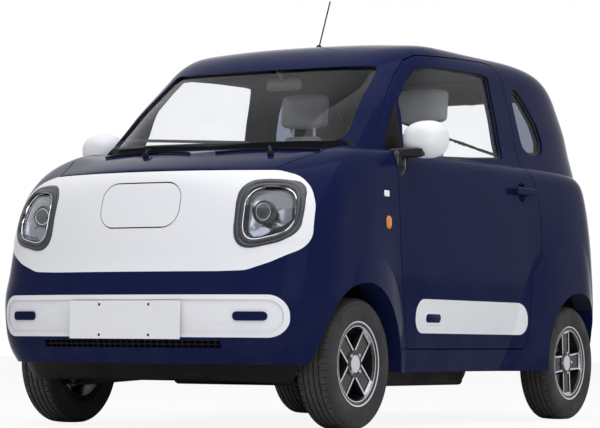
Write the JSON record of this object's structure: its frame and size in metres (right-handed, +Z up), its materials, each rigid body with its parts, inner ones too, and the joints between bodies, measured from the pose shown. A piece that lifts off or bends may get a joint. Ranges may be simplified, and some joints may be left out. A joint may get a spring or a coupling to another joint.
{
  "type": "microcar",
  "caption": "Small electric hatchback with a rounded body, doors, bonnet, tailgate and charging lid that open, turning wheels and linked steering.",
  "frame": {"origin": "on the floor under the middle of the car's length and width", "axes": "+X forward, +Y to the car's left, +Z up"},
  "size_m": [3.0009, 1.748, 1.8215],
  "materials": {
    "navy_paint": "metallic navy",
    "white_paint": "gloss white",
    "black_plastic": "satin",
    "gloss_black": "gloss",
    "lamp_lens": "clear",
    "red_lens": "gloss",
    "window": "clear",
    "mirror_face": "silvered",
    "steel": "semi-gloss black",
    "bright_steel": "machined",
    "battery_case": "black",
    "rubber": "matt",
    "tyre": "matt",
    "rim": "dark with machined edges",
    "seat_fabric": "woven light grey",
    "cabin_plastic": "grained",
    "plate": "matt"
  },
  "bodies": {
    "body_shell": {"roof_panel": "navy_paint", "side_left": "navy_paint", "side_right": "navy_paint", "floor_pan": "steel", "cowl": "black_plastic", "fenders": "navy_paint", "front_bumper": "navy_paint", "front_frame": "black_plastic", "face_panel": "white_paint", "front_strip": "white_paint", "plate_holder": "plate", "grille": "black_plastic", "air_dam": "black_plastic", "headlamps": "gloss_black", "headlamp_lenses": "lamp_lens", "windscreen": "window", "quarter_glasses": "window", "rear_bumper": "navy_paint", "rear_strip": "white_paint", "tail_lamps": "red_lens", "battery_box": "battery_case", "front_suspension": "steel", "rear_axle": "steel", "arch_liners": "black_plastic", "front_shelf": "black_plastic", "dashboard": "cabin_plastic", "seat_left": "seat_fabric", "seat_right": "seat_fabric", "seat_plinths": "cabin_plastic", "rear_bench": "seat_fabric", "antenna": "black_plastic", "buffers": "rubber"},
    "bonnet": {"bonnet": "navy_paint"},
    "charge_lid": {"charge_lid": "white_paint"},
    "tailgate": {"tailgate": "navy_paint", "tailgate_glass": "window"},
    "steering_wheel": {"steering_wheel": "cabin_plastic"},
    "steering_rack": {"steering_rack": "bright_steel"},
    "door_left": {"door_left": "navy_paint", "door_glass_left": "window", "door_strip_left": "white_paint", "mirror_left": "gloss_black", "mirror_glass_left": "mirror_face"},
    "knuckle_left": {"knuckle_left": "steel"},
    "wheel_front_left": {"tyre_front_left": "tyre", "rim_front_left": "rim"},
    "wheel_rear_left": {"tyre_rear_left": "tyre", "rim_rear_left": "rim"},
    "door_right": {"door_right": "navy_paint", "door_glass_right": "window", "door_strip_right": "white_paint", "mirror_right": "gloss_black", "mirror_glass_right": "mirror_face"},
    "knuckle_right": {"knuckle_right": "steel"},
    "wheel_front_right": {"tyre_front_right": "tyre", "rim_front_right": "rim"},
    "wheel_rear_right": {"tyre_rear_right": "tyre", "rim_rear_right": "rim"}
  },
  "joints": [
    {"name": "door_left_hinge", "type": "hinge", "parent": "body_shell", "child": "door_left", "pos_m": [0.654, 0.73, 0.7], "axis": [0, 0, -1], "range_deg": [0, 65]},
    {"name": "door_right_hinge", "type": "hinge", "parent": "body_shell", "child": "door_right", "pos_m": [0.654, -0.73, 0.7], "axis": [0, 0, 1], "range_deg": [0, 65]},
    {"name": "bonnet_hinge", "type": "hinge", "parent": "body_shell", "child": "bonnet", "pos_m": [0.783, 0, 1.12], "axis": [0, -1, 0], "range_deg": [0, 50]},
    {"name": "tailgate_hinge", "type": "hinge", "parent": "body_shell", "child": "tailgate", "pos_m": [-1.222, 0, 1.552], "axis": [0, 1, 0], "range_deg": [0, 75]},
    {"name": "charge_lid_hinge", "type": "hinge", "parent": "body_shell", "child": "charge_lid", "pos_m": [1.3775, 0, 0.943], "axis": [0, -1, 0], "range_deg": [0, 100]},
    {"name": "steering_wheel_turn", "type": "hinge", "parent": "body_shell", "child": "steering_wheel", "pos_m": [0.47, 0.31, 0.985], "axis": [-0.9063, 0, 0.4226], "range_deg": [-540, 540]},
    {"name": "rack_slide", "type": "slide", "parent": "body_shell", "child": "steering_rack", "axis": [0, 1, 0], "range_m": [-0.0575, 0.0575]},
    {"name": "steer_left", "type": "hinge", "parent": "body_shell", "child": "knuckle_left", "pos_m": [0.943, 0.603, 0.185], "axis": [0, -0.2081, 0.9781], "range_deg": [-31, 31]},
    {"name": "wheel_spin_front_left", "type": "hinge", "parent": "knuckle_left", "child": "wheel_front_left", "pos_m": [0.943, 0.646, 0.254], "axis": [0, 1, 0], "continuous": true},
    {"name": "wheel_spin_rear_left", "type": "hinge", "parent": "body_shell", "child": "wheel_rear_left", "pos_m": [-1.01, 0.646, 0.254], "axis": [0, 1, 0], "continuous": true},
    {"name": "steer_right", "type": "hinge", "parent": "body_shell", "child": "knuckle_right", "pos_m": [0.943, -0.603, 0.185], "axis": [0, 0.2081, 0.9781], "range_deg": [-31, 31]},
    {"name": "wheel_spin_front_right", "type": "hinge", "parent": "knuckle_right", "child": "wheel_front_right", "pos_m": [0.943, -0.646, 0.254], "axis": [0, 1, 0], "continuous": true},
    {"name": "wheel_spin_rear_right", "type": "hinge", "parent": "body_shell", "child": "wheel_rear_right", "pos_m": [-1.01, -0.646, 0.254], "axis": [0, 1, 0], "continuous": true}
  ],
  "couplings": [
    {"joint": "steer_left", "follows": "steering_wheel_turn", "ratio": 0.055556},
    {"joint": "steer_right", "follows": "steering_wheel_turn", "ratio": 0.055556},
    {"joint": "rack_slide", "follows": "steering_wheel_turn", "m_per_rad": -0.005836}
  ]
}
